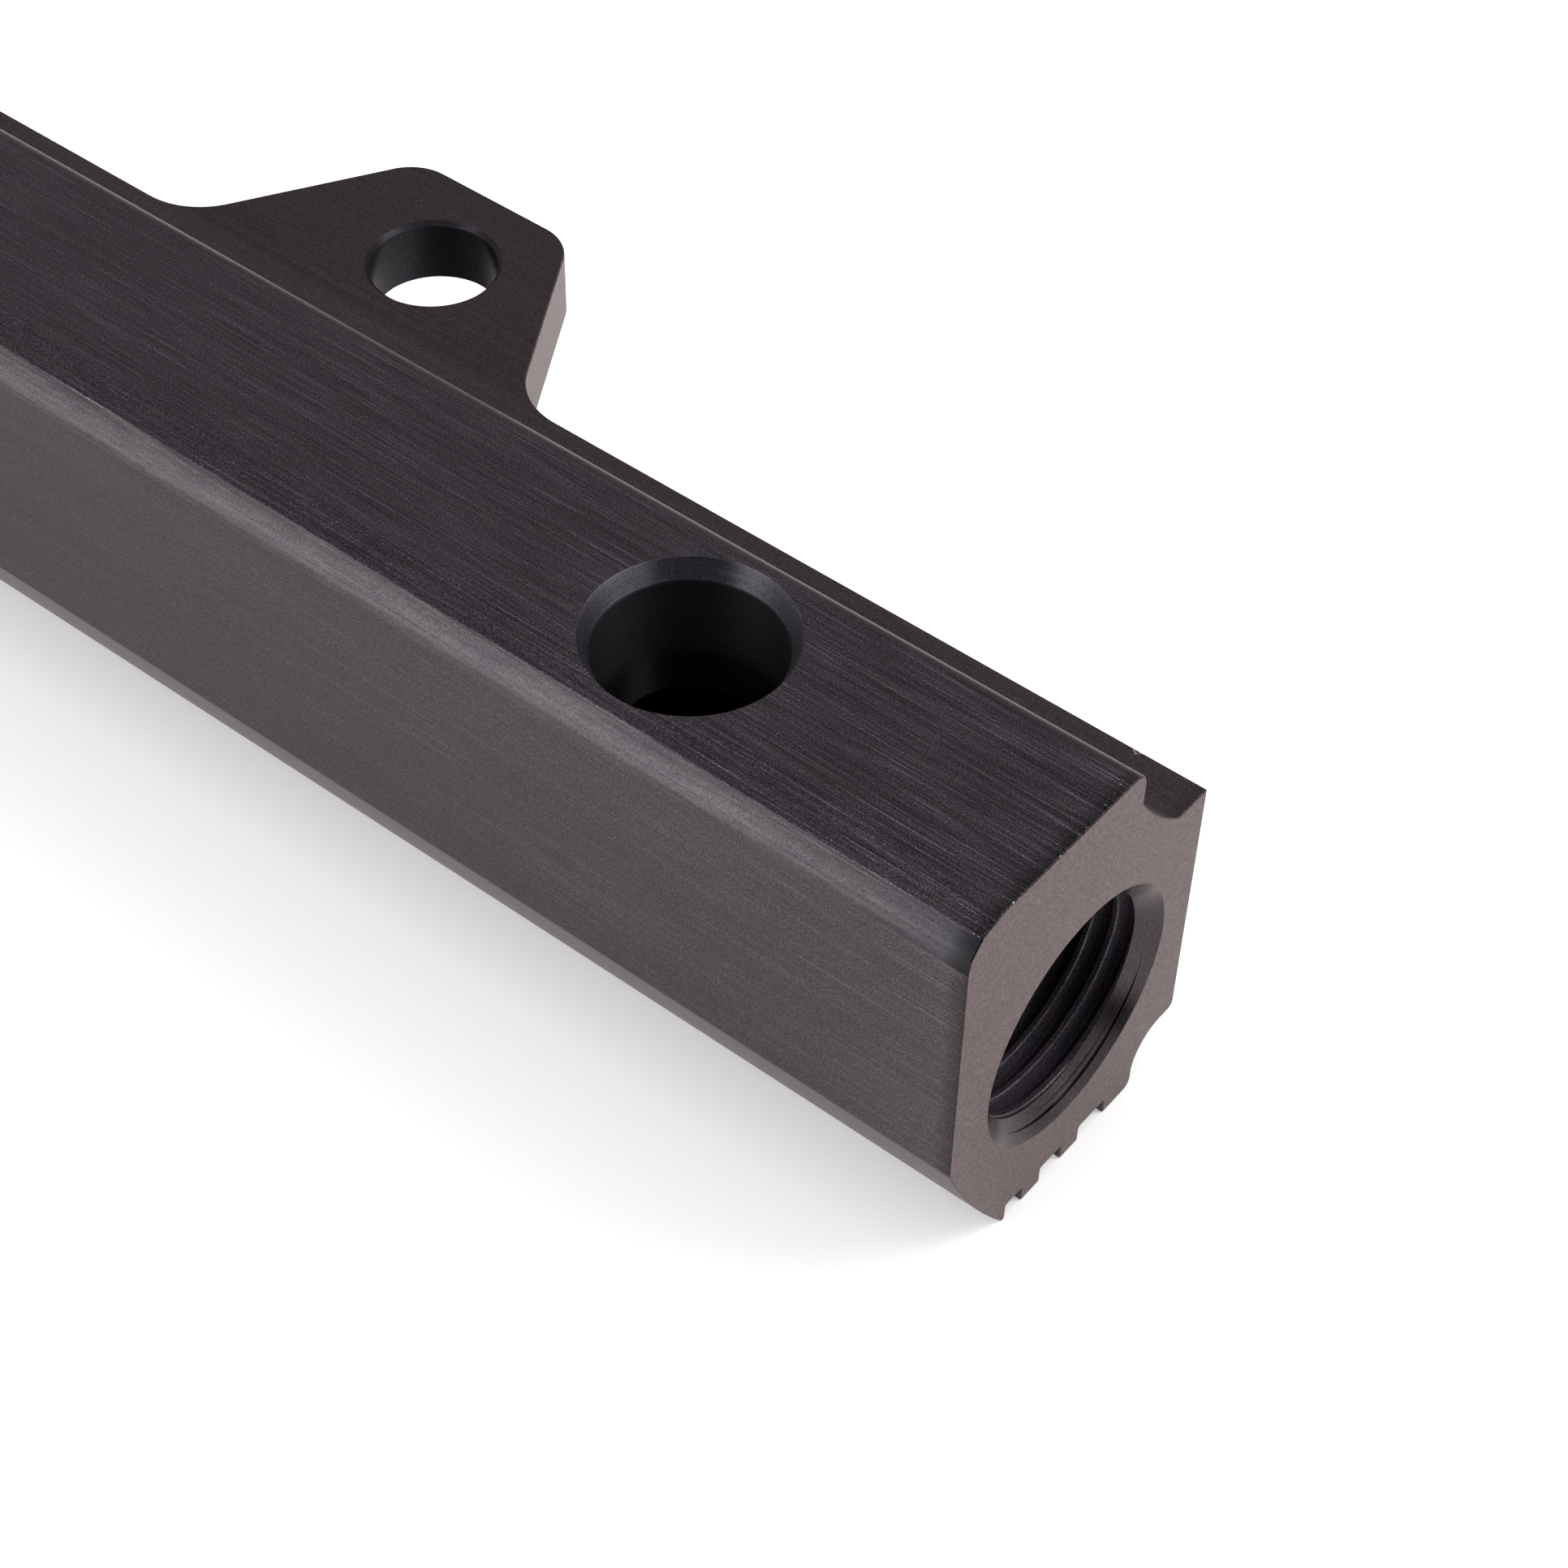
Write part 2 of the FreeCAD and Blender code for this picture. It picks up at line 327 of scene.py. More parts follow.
class StudioSettings(PropertyGroup):
    """Light levels and floor of the studio."""

    floor_colour: FloatVectorProperty(
        name="Floor", description="Colour of the floor sheet",
        default=(0.86, 0.85, 0.84), subtype="COLOR", size=3, min=0, max=1)
    floor_glow: FloatProperty(
        name="Floor glow", description="Share of white that the open floor shows without a lamp",
        default=0.72, min=0, max=1, subtype="FACTOR")
    shade_reach: FloatProperty(
        name="Shade reach", description="How far from the rail the open floor's glow is shaded",
        default=0.075, unit="LENGTH")
    key_power: FloatProperty(
        name="Key lamp", description="Power of the large lamp behind the rail",
        default=5.0, min=0, unit="POWER")
    side_power: FloatProperty(
        name="Side lamp", description="Power of the soft box before the rail",
        default=1.6, min=0, unit="POWER")
    card_height: FloatProperty(
        name="Card height", description="Height of the black card before the rail",
        default=0.45, min=0.001, unit="LENGTH")
    card_width: FloatProperty(
        name="Card width", description="Width of the black card before the rail",
        default=0.80, min=0.001, unit="LENGTH")
    sky_level: FloatProperty(
        name="Surround", description="Level of the pale surround", default=0.95, min=0, max=1)
    shade_level: FloatProperty(
        name="Dark panel", description="Level that the panel behind and over the rail darkens towards",
        default=0.30, min=0, max=1)


def turned(vectors, angles):
    """Plane vectors turned by their own angles: (x cos a - y sin a, x sin a + y cos a)."""
    cosine, sine = np.cos(angles), np.sin(angles)
    return np.stack([vectors[:, 0] * cosine - vectors[:, 1] * sine,
                     vectors[:, 0] * sine + vectors[:, 1] * cosine], axis=1)


def corner_rounds(corners):
    """Centre, first spoke, turn and radius of the round at each corner, from rows of x, y and radius.

    A side arrives at a corner and leaves it turned by t, so a round of radius r starts r tan(t / 2) before
    the corner. Where two rounds want more than the side between them, both give way in proportion.
    """
    point, radius = corners[:, :2], corners[:, 2]
    arriving = point - np.roll(point, 1, axis=0)
    length = np.linalg.norm(arriving, axis=1)
    arriving = arriving / length[:, None]
    leaving = np.roll(arriving, -1, axis=0)
    side = np.roll(length, -1)
    turn = np.arctan2(arriving[:, 0] * leaving[:, 1] - arriving[:, 1] * leaving[:, 0],
                      (arriving * leaving).sum(axis=1))
    tangent = np.maximum(np.tan(np.abs(turn) / 2), NOUGHT)
    wanted = tangent * radius
    room = side / np.maximum(side, wanted + np.roll(wanted, -1))
    setback = wanted * np.minimum(room, np.roll(room, 1))
    radius = setback / tangent
    spoke = np.stack([arriving[:, 1], -arriving[:, 0]], axis=1) * (np.sign(turn) * radius)[:, None]
    return point - arriving * setback[:, None] - spoke, spoke, turn, radius


def rounded_outline(corners, arc_step):
    """Closed outline of straight sides with round corners, from rows of x, y and radius.

    A round's points are its centre plus its first spoke turned by shares of its turn. Returns the points
    and the number of each point's corner.
    """
    centre, spoke, turn, radius = corner_rounds(corners)
    steps = np.maximum(np.ceil(np.abs(turn) * radius / arc_step), np.ceil(np.abs(turn) / ARC_TURN))
    count = np.where(radius > NOUGHT, steps + 1, 1).astype(int)
    corner = np.repeat(np.arange(len(corners)), count)
    rank = np.arange(count.sum()) - np.repeat(np.cumsum(count) - count, count)
    share = rank / np.maximum(count - 1, 1)[corner]
    return centre[corner] + turned(spoke[corner], turn[corner] * share), corner


def mitres(outline):
    """Outward shift at each point of a clockwise outline that moves both its sides out by one.

    With n and m the outward normals of the two sides, it is (n + m) / (1 + n . m).
    """
    along = np.roll(outline, -1, axis=0) - outline
    along = along / np.linalg.norm(along, axis=1, keepdims=True)
    after = np.stack([-along[:, 1], along[:, 0]], axis=1)
    before = np.roll(after, 1, axis=0)
    return (before + after) / (1 + (before * after).sum(axis=1, keepdims=True))


def stacked_rings(outline, heights, insets):
    """An outline carried along its axis: at height h it is outline - inset(h) * mitre.

    Returns an array of rings, points and (u, v, h).
    """
    flat = outline[None, :, :] - np.asarray(insets)[:, None, None] * mitres(outline)[None, :, :]
    level = np.broadcast_to(np.asarray(heights)[:, None, None], flat.shape[:2] + (1,))
    return np.concatenate([flat, level], axis=2)


def broken_edge(face, radius, steps=5):
    """Heights and insets of a quarter round under a face: face - r (1 - sin a) and r (1 - cos a)."""
    angle = np.linspace(0, math.pi / 2, steps + 1)
    return face - radius * (1 - np.sin(angle)), radius * (1 - np.cos(angle))


def side_quads(rows, columns, seam=0):
    """Quads between neighbours on a grid that closes on itself, whose last column meets its first one
    a number of rows further on. Point (i, j) has the number i * columns + j."""
    i, j = np.meshgrid(np.arange(rows - 1), np.arange(columns), indexing="ij")
    wrapped = (j == columns - 1) * seam
    following = (j + 1) % columns
    quads = np.stack([i * columns + j, (i + 1) * columns + j,
                      (i + 1 + wrapped) * columns + following, (i + wrapped) * columns + following], axis=-1)
    return quads[i + 1 + wrapped < rows]


def closed_tube(rings):
    """A tube of rings, clockwise about its axis, with a many-sided face at each end."""
    rows, columns = rings.shape[:2]
    faces = side_quads(rows, columns).tolist()
    start = np.arange(columns)
    faces += [start.tolist(), ((rows - 1) * columns + start[::-1]).tolist()]
    return rings.reshape(-1, 3), faces


def turned_cutter(steps, mouth, inward, across, columns):
    """A cutter turned about an axis: mouth + inward d + r (across cos a - (inward x across) sin a)."""
    depth, radius = np.array(steps).T
    inward, across = np.array(inward, float), np.array(across, float)
    third = np.cross(inward, across)
    angle = np.linspace(0, 2 * math.pi, columns, endpoint=False)
    spoke = np.cos(angle)[:, None] * across - np.sin(angle)[:, None] * third
    rings = np.array(mouth) + depth[:, None, None] * inward + radius[:, None, None] * spoke
    return closed_tube(rings)


def thread_profile(sizes):
    """One pitch of the thread, in rows of height and radius, from a crest's outer edge to a root's end.

    Heights are shares of the pitch. The flanks lean by the half angle, and the crest's corners are broken.
    """
    root, crest = sizes.thread_diameter / 2, sizes.thread_core / 2
    flank = (root - crest) * math.tan(THREAD_HALF_ANGLE) / sizes.thread_pitch
    crest_flat = 1 - 2 * flank - THREAD_ROOT_FLAT
    lifted = crest + THREAD_CORNER * sizes.thread_pitch / math.tan(THREAD_HALF_ANGLE)
    return np.array([
        (-THREAD_CORNER, lifted), (THREAD_CORNER, crest),
        (crest_flat - THREAD_CORNER, crest), (crest_flat + THREAD_CORNER, lifted),
        (crest_flat + flank, root), (crest_flat + flank + THREAD_ROOT_FLAT, root),
    ])


def tapped_radius(depth, row_radius, sizes):
    """The profile's radius, held under a taper at the blind end, where the tap's first teeth cut less and
    less, and near the crests outside the throat, where the countersink has taken the groove away."""
    root, crest = sizes.thread_diameter / 2, sizes.thread_core / 2
    taper = root - (depth - sizes.thread_depth) * TAP_TAPER
    radius = np.minimum(np.maximum(taper, crest - TAP_TIP), row_radius)
    released = crest + np.maximum(depth - sizes.port_throat, 0) * THROAT_RELEASE
    return np.minimum(radius, released)


def helix_ends(rows, columns, seam):
    """The two open loops of a helical grid: an end row, then the part of the seam that it leaves open."""
    j, k = np.arange(columns), np.arange(seam)
    last_row = (rows - 1) * columns
    first = np.concatenate([j, (seam - k) * columns])
    last = np.concatenate([[last_row], last_row + (k - seam) * columns + columns - 1, last_row + j[:0:-1]])
    return first, last


def thread_cutter(face, side, sizes, columns=BORE_COLUMNS):
    """The thread's cutter, a tube on a helical grid whose rows follow the corners of the thread's profile.

    At turn a, clockwise as seen from outside the end, a row at height t of the profile lies at depth
    t + pitch * a / 2 pi, so the last column meets the first one a pitch further on. A fan of triangles about
    a point of the axis closes each end. Returns the shell and the finish of each face.
    """
    profile = thread_profile(sizes)
    turns = TURNS_OUTSIDE + int(sizes.thread_depth / sizes.thread_pitch) + TURNS_BEYOND
    turn = np.repeat(np.arange(turns), len(profile)) - TURNS_OUTSIDE
    row_height = sizes.thread_start + (turn + np.tile(profile[:, 0], turns)) * sizes.thread_pitch
    row_radius = np.tile(profile[:, 1], turns)
    angle = np.linspace(0, 2 * math.pi, columns, endpoint=False)
    depth = row_height[:, None] + sizes.thread_pitch * angle / (2 * math.pi)
    radius = tapped_radius(depth, row_radius[:, None], sizes)
    grid = np.stack([face - side * depth, radius * np.cos(angle), -side * radius * np.sin(angle)], axis=-1)
    rows, seam = len(row_height), len(profile)
    quads = side_quads(rows, columns, seam)
    # The rows over each crest's outer edge carry the crests' painted highlight
    finish = np.where(quads[:, 0] // columns % seam == 0, CREST_HIGHLIGHT, THREAD)
    faces = quads[:, ::-1].tolist()
    points = np.concatenate([grid.reshape(-1, 3), [grid[0].mean(axis=0), grid[-1].mean(axis=0)]])
    points[-2:, 1:] = 0
    for hub, loop in enumerate(helix_ends(rows, columns, seam), start=rows * columns):
        faces += np.stack([np.roll(loop, -1), loop, np.full(len(loop), hub)], axis=1).tolist()
    return (points, faces), np.append(finish, np.full(len(faces) - len(quads), THREAD))


def joined(shells):
    """Several closed shells as one."""
    offset = np.cumsum([0] + [len(points) for points, _ in shells])
    points = np.concatenate([points for points, _ in shells])
    faces = [[index + start for index in face] for (_, some), start in zip(shells, offset) for face in some]
    return points, faces


def linked(name, data):
    """An object with this data, in the scene."""
    made = bpy.data.objects.new(name, data)
    bpy.context.scene.collection.objects.link(made)
    return made


def shell_object(name, shell, finish):
    """An object made of closed shells, with the finish of each face or of all of them."""
    points, faces = shell
    mesh = bpy.data.meshes.new(name)
    mesh.from_pydata(points, [], faces)
    for material_name in FINISHES:
        mesh.materials.append(bpy.data.materials[material_name])
    mesh.polygons.foreach_set("material_index", np.broadcast_to(finish, len(faces)).astype(np.int32))
    return linked(name, mesh)


def machine(work, tool, operation):
    """Joins, cuts or trims the work with a tool, and takes the tool away."""
    step = work.modifiers.new(operation.lower(), "BOOLEAN")
    step.object, step.operation, step.solver = tool, operation, "EXACT"
    step.material_mode = "TRANSFER"
    bpy.context.view_layer.update()
    before = work.data
    result = bpy.data.meshes.new_from_object(work.evaluated_get(bpy.context.evaluated_depsgraph_get()))
    work.modifiers.clear()
    work.data = result
    bpy.data.meshes.remove(before)
    spent = tool.data
    bpy.data.objects.remove(tool)
    bpy.data.meshes.remove(spent)


def merge_points(mesh, slit=0.001 * MM):
    """Closes the hairline slits that the cuts leave: points less than a micrometre apart become one."""
    work = bmesh.new()
    work.from_mesh(mesh)
    bmesh.ops.remove_doubles(work, verts=work.verts, dist=slit)
    work.to_mesh(mesh)
    work.free()


def chip(x, y, z, length, width, height, rows=7, columns=10, wobble=0.18):
    """A small lens-shaped cutter: x + l/2 r cos a cos b, y - w/2 r sin a cos b, z + h/2 sin b.

    Its plan is uneven, with r = 1 + wobble * cos(3 a + phase), and a phase of its own from its place.
    """
    slope = np.radians(np.linspace(-80, 80, rows))
    angle = np.linspace(0, 2 * math.pi, columns, endpoint=False)
    phase = 900 * x / MM
    rough = 1 + wobble * np.cos(3 * angle + phase)
    rings = np.stack([x + length / 2 * np.cos(slope)[:, None] * np.cos(angle) * rough,
                      y - width / 2 * np.cos(slope)[:, None] * np.sin(angle) * rough,
                      z + height / 2 * np.sin(slope)[:, None] * np.ones(len(angle))], axis=-1)
    return closed_tube(rings)


def bar_blank(sizes):
    """The extruded bar without its flange, cut to length, with a broken edge round both end faces."""
    outline, corner = rounded_outline(SECTION[:, :3] * MM, ARC_STEP)
    around = SECTION[corner, 3].astype(int)
    heights, insets = broken_edge(RAIL_END, sizes.end_break)
    middle = np.linspace(-heights[0], heights[0], BAR_STATIONS)[1:-1]
    stations = np.concatenate([-heights[::-1], middle, heights])
    inset = np.concatenate([insets[::-1], np.zeros(len(middle)), insets])
    rings = stacked_rings(outline, stations, inset)[:, :, [2, 0, 1]]
    finish = np.concatenate([np.tile(around, len(stations) - 1), [MILLED, MILLED]])
    return shell_object("rail_body_anodised", closed_tube(rings), finish)


def ear_plan():
    """Corners of an ear about its bolt hole, in rows of x, y and radius: a slanted tab, let into the bar."""
    slant = (FLANGE_REACH - BACK_REACH) * math.tan(EAR_SLANT)
    end_foot, middle_foot = EAR_END_REACH + slant, EAR_MIDDLE_REACH + slant
    return np.array([
        (end_foot + EAR_FOOT_RADIUS, BACK_REACH - EAR_ROOT, 0),
        (end_foot + EAR_FOOT_RADIUS, BACK_REACH, 0),
        (end_foot, BACK_REACH, EAR_FOOT_RADIUS),
        (EAR_END_REACH, FLANGE_REACH, EAR_TIP_RADIUS),
        (-EAR_MIDDLE_REACH, FLANGE_REACH, EAR_TIP_RADIUS),
        (-middle_foot, BACK_REACH, EAR_FOOT_RADIUS),
        (-middle_foot - EAR_FOOT_RADIUS, BACK_REACH, 0),
        (-middle_foot - EAR_FOOT_RADIUS, BACK_REACH - EAR_ROOT, 0),
    ])[::-1] * MM


def flange_trimmer(room=2):
    """A bar that trims the ears to the flange's underside and its round root, with room elsewhere."""
    trim = np.array([
        (BACK_REACH - room, LEDGE_HEIGHT + room, 0),
        (FLANGE_REACH + room, LEDGE_HEIGHT + room, 0),
        (FLANGE_REACH + room, FLANGE_UNDERSIDE, 0),
        (BACK_REACH, FLANGE_UNDERSIDE, FLANGE_ROOT_RADIUS),
        (BACK_REACH, FLANGE_UNDERSIDE - room, 0),
        (BACK_REACH - room, FLANGE_UNDERSIDE - room, 0),
    ]) * MM
    outline, _ = rounded_outline(trim, FINE_ARC_STEP)
    rings = stacked_rings(outline, np.array([-RAIL_END, RAIL_END]), [0, 0])[:, :, [2, 0, 1]]
    return shell_object("flange", closed_tube(rings), MATTE)


def ears(sizes):
    """The two mounting ears: a plan outline with a broken top edge, trimmed to the flange's own section."""
    outline, _ = rounded_outline(ear_plan(), ARC_STEP)
    heights, insets = broken_edge(LEDGE_HEIGHT * MM, sizes.ear_break)
    levels = np.concatenate([[EAR_BLANK_FOOT * MM], heights])
    rings = stacked_rings(outline, levels, np.concatenate([[0], insets]))
    hole = np.array([sizes.ear_pitch / 2, 0, 0])
    mirrored = rings[:, ::-1] * np.array([-1, 1, 1])
    made = shell_object("ears", joined([closed_tube(rings + hole), closed_tube(mirrored - hole)]), MILLED)
    normals = np.zeros(len(made.data.polygons) * 3)
    made.data.polygons.foreach_get("normal", normals)
    upward = normals.reshape(-1, 3)[:, 2] > 0.9
    finish = np.where(upward, MATTE, MILLED)
    made.data.polygons.foreach_set("material_index", finish.astype(np.int32))
    machine(made, flange_trimmer(), "INTERSECT")
    return made


def end_cutter(steps, side, middle=(0, 0)):
    """A round cutter that enters an end face, on the gallery axis or with its middle a little beside it."""
    return turned_cutter(steps, (side * RAIL_END, *middle), (-side, 0, 0), (0, 1, 0), BORE_COLUMNS)


def gallery_cutter(sizes):
    """The fuel gallery, bored from end to end."""
    bore = sizes.gallery_diameter / 2
    return end_cutter([(-PAST, bore), (RAIL_LENGTH + PAST, bore)], 1)


def port_mouth_cutters(sizes):
    """The countersinks: a lightly broken rim, then a cone that narrows to the crests at the throat."""
    mouth = sizes.port_mouth / 2
    narrowing = (mouth - sizes.thread_core / 2) / sizes.port_throat
    tip_depth = (mouth - PORT_TIP) / narrowing
    steps = [(-PAST, mouth + PORT_RIM + PAST), (PORT_RIM, mouth - PORT_RIM_LEAN * PORT_RIM),
             (tip_depth, PORT_TIP), (tip_depth + PAST, PORT_TIP)]
    return joined([end_cutter(steps, side) for side in (1, -1)])


def tool_ring_cutter():
    """The shallow steps that a tool left in the mouth of the +X port."""
    (outer_depth, outer), (inner_depth, inner) = TOOL_STEPS
    steps = [(-PAST, outer), (outer_depth, outer), (outer_depth, inner), (inner_depth, inner)]
    return end_cutter(steps, 1, TOOL_MIDDLE)


def pocket_cutters(sizes):
    """The injector pockets: a broken lip, a tapered lead-in, the bore and a break at its foot."""
    wide, narrow = sizes.pocket_mouth / 2, sizes.pocket_diameter / 2
    lead_in = (wide - narrow) / math.tan(sizes.pocket_taper)
    steps = [
        (-PAST, wide + POCKET_LIP + PAST), (POCKET_LIP, wide - POCKET_LIP * math.tan(sizes.pocket_taper)),
        (lead_in, narrow), (sizes.pocket_depth - POCKET_FOOT, narrow),
        (sizes.pocket_depth, narrow - POCKET_FOOT),
    ]
    first = -sizes.pocket_pitch * (sizes.pocket_count - 1) / 2
    mouths = [(first + i * sizes.pocket_pitch, POCKET_Y, TOP_HEIGHT * MM) for i in range(sizes.pocket_count)]
    return joined([turned_cutter(steps, mouth, (0, 0, -1), (1, 0, 0), BORE_COLUMNS) for mouth in mouths])


def ear_hole_cutters(sizes):
    """The ears' bolt holes, with a broken edge on both sides of the ear."""
    hole = sizes.ear_hole_diameter / 2
    thickness = (LEDGE_HEIGHT - FLANGE_UNDERSIDE) * MM
    wide = hole + EAR_HOLE_BREAK + PAST
    steps = [(-PAST, wide), (EAR_HOLE_BREAK, hole),
             (thickness - EAR_HOLE_BREAK, hole), (thickness + PAST, wide)]
    mouths = [(side * sizes.ear_pitch / 2, EAR_HOLE_Y * MM, LEDGE_HEIGHT * MM) for side in (1, -1)]
    return joined([turned_cutter(steps, mouth, (0, 0, -1), (1, 0, 0), HOLE_COLUMNS) for mouth in mouths])


def thread_cutters(sizes):
    """The threads of both ports as one shell, and the finish of each face."""
    taps, finishes = zip(*[thread_cutter(side * RAIL_END, side, sizes) for side in (1, -1)])
    return joined(taps), np.concatenate(finishes)


def cutters(sizes):
    """Each cut's name, shell and finish, in the order of the cuts: the cutters of one cut may not touch."""
    threads, thread_finish = thread_cutters(sizes)
    return (
        ("gallery", gallery_cutter(sizes), PORT),
        ("ear_holes", ear_hole_cutters(sizes), POCKET),
        ("threads", threads, thread_finish),
        ("port_mouths", port_mouth_cutters(sizes), PORT),
        ("tool_rings", tool_ring_cutter(), PORT),
        ("injector_pockets", pocket_cutters(sizes), POCKET),
        ("chips", joined([chip(*row) for row in CHIPS * MM]), CHIPPED),
    )


class Nodes:
    """Adds nodes to a tree and joins them."""

    def __init__(self, tree):
        self.tree = tree
        tree.nodes.clear()

    def add(self, kind, inputs=(), **settings):
        """A node of a kind, with settings, and inputs by name or number that are values or other sockets."""
        node = self.tree.nodes.new(kind)
        for name, value in settings.items():
            setattr(node, name, value)
        for key, value in dict(inputs).items():
            if isinstance(value, bpy.types.NodeSocket):
                self.tree.links.new(value, node.inputs[key])
            else:
                node.inputs[key].default_value = value
        return node

    def math(self, operation, *values):
        """The result of an operation on numbers and sockets."""
        return self.add("ShaderNodeMath", dict(enumerate(values)), operation=operation).outputs[0]

    def remap(self, value, low, high, to_low, to_high):
        """A value between two levels mapped to two others, and held there."""
        return self.add("ShaderNodeMapRange", {0: value, 1: low, 2: high, 3: to_low, 4: to_high}).outputs[0]

    def fade(self, distance, low, high, to_low, to_high):
        """A distance between two levels in millimetres mapped to two values, and held there."""
        return self.remap(distance, low * MM, high * MM, to_low, to_high)

    def parts(self, vector):
        """The X, Y and Z of a vector."""
        return self.add("ShaderNodeSeparateXYZ", {0: vector}).outputs

    def noise(self, place, grain, detail=2.0, roughness=0.5):
        """Noise whose grains have a size along each axis, in millimetres."""
        scale = tuple(1 / (size * MM) for size in grain)
        moved = self.add("ShaderNodeMapping", {"Vector": place, "Scale": scale})
        return self.add("ShaderNodeTexNoise", {"Vector": moved.outputs[0], "Scale": 1.0, "Detail": detail,
                                               "Roughness": roughness}).outputs["Fac"]

    def swing(self, value, weight):
        """A value about one half made to swing about nought: weight * (value - 0.5)."""
        return self.math("MULTIPLY_ADD", value, weight, -0.5 * weight)

    def total(self, *values):
        """The sum of several values."""
        whole = values[0]
        for value in values[1:]:
            whole = self.math("ADD", whole, value)
        return whole

    def tinted(self, colour, stops, warmth):
        """A colour times 2 to the power of the stops, moved towards red or blue by the warmth."""
        level = self.math("POWER", 2.0, stops)
        channels = [self.math("MULTIPLY", level, base) for base in colour]
        channels[0] = self.math("MULTIPLY", channels[0], self.math("ADD", 1.0, warmth))
        channels[2] = self.math("MULTIPLY", channels[2], self.math("SUBTRACT", 1.0, warmth))
        return self.add("ShaderNodeCombineXYZ", dict(enumerate(channels))).outputs[0]


def new_material(name):
    """A material and its node maker."""
    material = bpy.data.materials.new(name)
    material.use_nodes = True
    return material, Nodes(material.node_tree)


def new_finish(name):
    """A finish's node maker, the place of the shaded point, and how far that is from the nearer end."""
    _, make = new_material(name)
    place = make.add("ShaderNodeTexCoord").outputs["Object"]
    along = make.math("ABSOLUTE", make.parts(place)[0])
    return make, place, make.math("SUBTRACT", RAIL_END, along)


def anodised_skin(make, colour, roughness, height, relief, grooves=()):
    """A dark metallic skin: anodised aluminium mirrors about a tenth of what it faces, tinted by its dye.

    Grooves give the share by which highlights stretch across them, and their direction.
    """
    bump = make.add("ShaderNodeBump", {"Height": height, "Strength": BUMP_STRENGTH, "Distance": relief * MM})
    skin = make.add("ShaderNodeBsdfPrincipled", {
        "Base Color": colour, "Metallic": 1.0, "Roughness": roughness, "Normal": bump.outputs[0],
        "Specular Tint": GRAZING_TINT,
        **dict(zip(("Anisotropic", "Tangent"), grooves)), "Anisotropic Rotation": QUARTER_TURN})
    make.add("ShaderNodeOutputMaterial", {"Surface": skin.outputs[0]})


def brushed(name, colour, roughness, contrast, glints, ragged=1.4, far_shade=0.0):
    """Brushed along the bar: fine streaks and hairline scratches, bright specks that are painted glints, and
    a dark ragged end that is painted shade.

    The streaks are calmer away from the end, and the painted glints brighter close to it. The ragged end's
    painted shade is about so many millimetres deep, and a number of stops of painted shade, set by the last
    argument, builds up over the first 100 mm from the end and holds beyond it.
    """
    make, place, to_end = new_finish(name)
    fine = make.noise(place, (8, 0.085, 0.085), 3.0, 0.7)
    wide = make.noise(place, (16, 0.4, 0.4))
    cloud = make.noise(place, (30, 4, 4))
    hair = make.remap(make.noise(place, (11, 0.07, 0.07), 0.0), 0.68, 0.76, 0.0, 1.0)
    dust = make.noise(place, (0.14, 0.12, 0.12), 1.0)
    # Painted glints: bright specks, stronger near the end
    glint = make.remap(make.noise(place, (0.16, 0.14, 0.14), 0.0), 0.77, 0.81, 0.0, 1.0)
    near_end = make.fade(to_end, 0.4, 1.2, 2.8, 0.8)
    calmed = make.fade(to_end, 5, 95, 1.0, 0.5)
    # Painted shade: a ragged band at the end
    ragged_end = make.total(to_end, make.swing(wide, -1.4 * ragged * MM),
                            make.swing(fine, -1.2 * ragged * MM))
    streaks = make.total(make.swing(fine, 5.8 * contrast), make.swing(wide, 0.5 * contrast),
                         make.math("MULTIPLY", hair, 1.5 * math.sqrt(contrast)))
    # The last two terms are painted shade, away from the end and over its ragged end
    stops = make.total(
        make.math("MULTIPLY", streaks, calmed), make.swing(cloud, 0.4), make.swing(dust, 4.0),
        make.math("MULTIPLY", make.math("MULTIPLY", glint, near_end), glints),
        make.fade(to_end, 0, 100, 0.0, -far_shade), make.fade(ragged_end, 0, ragged, -1.2, 0.0))
    warmth = make.swing(make.noise(place, (5, 0.25, 0.25)), 0.22 * contrast)
    rough = make.math("ADD", roughness, make.swing(fine, 0.2 * contrast))
    anodised_skin(make, make.tinted(colour, stops, warmth), rough, fine, 0.01 * contrast)


def etched(name, colour, roughness):
    """The unbrushed flat along the bar: softly mottled, lighter low down and darker at the top with a
    painted reflection, and streaked along its top edge.

    It darkens under its foot. Towards the end it darkens with painted shade, and its last two millimetres
    are dark and ragged with painted shade.
    """
    make, place, to_end = new_finish(name)
    height = make.parts(place)[2]
    streak = make.noise(place, (7, 0.10, 0.10))
    mottle = make.noise(place, (3, 0.5, 0.5))
    grain = make.noise(place, (0.14,) * 3, 1.0)
    # Painted reflection: lighter low down on the flat, darker at its top
    painted_reflection = make.fade(height, *FACET_HEIGHTS, 0.36, -0.40)
    foot = make.fade(height, *FACET_FOOT_HEIGHTS, -0.65, 0.0)
    at_edge = make.fade(height, *FACET_EDGE_HEIGHTS, 0.3, 1.0)
    streaked = make.math("MULTIPLY", at_edge, make.swing(streak, 3.2))
    # Painted shade towards the end over 20 mm, deeper over a ragged last two millimetres
    ragged_end = make.math("ADD", to_end, make.swing(grain, -1.6 * MM))
    stops = make.total(painted_reflection, foot, streaked, make.swing(mottle, 0.8), make.swing(grain, 1.9),
                       make.fade(to_end, 2, 20, -0.40, 0.0), make.fade(ragged_end, 0.4, 2.0, -1.7, 0.0))
    warmth = make.math("SUBTRACT", make.swing(mottle, 0.1), make.fade(to_end, 2, 8, 0.05, 0.0))
    anodised_skin(make, make.tinted(colour, stops, warmth), roughness, grain, 0.01)


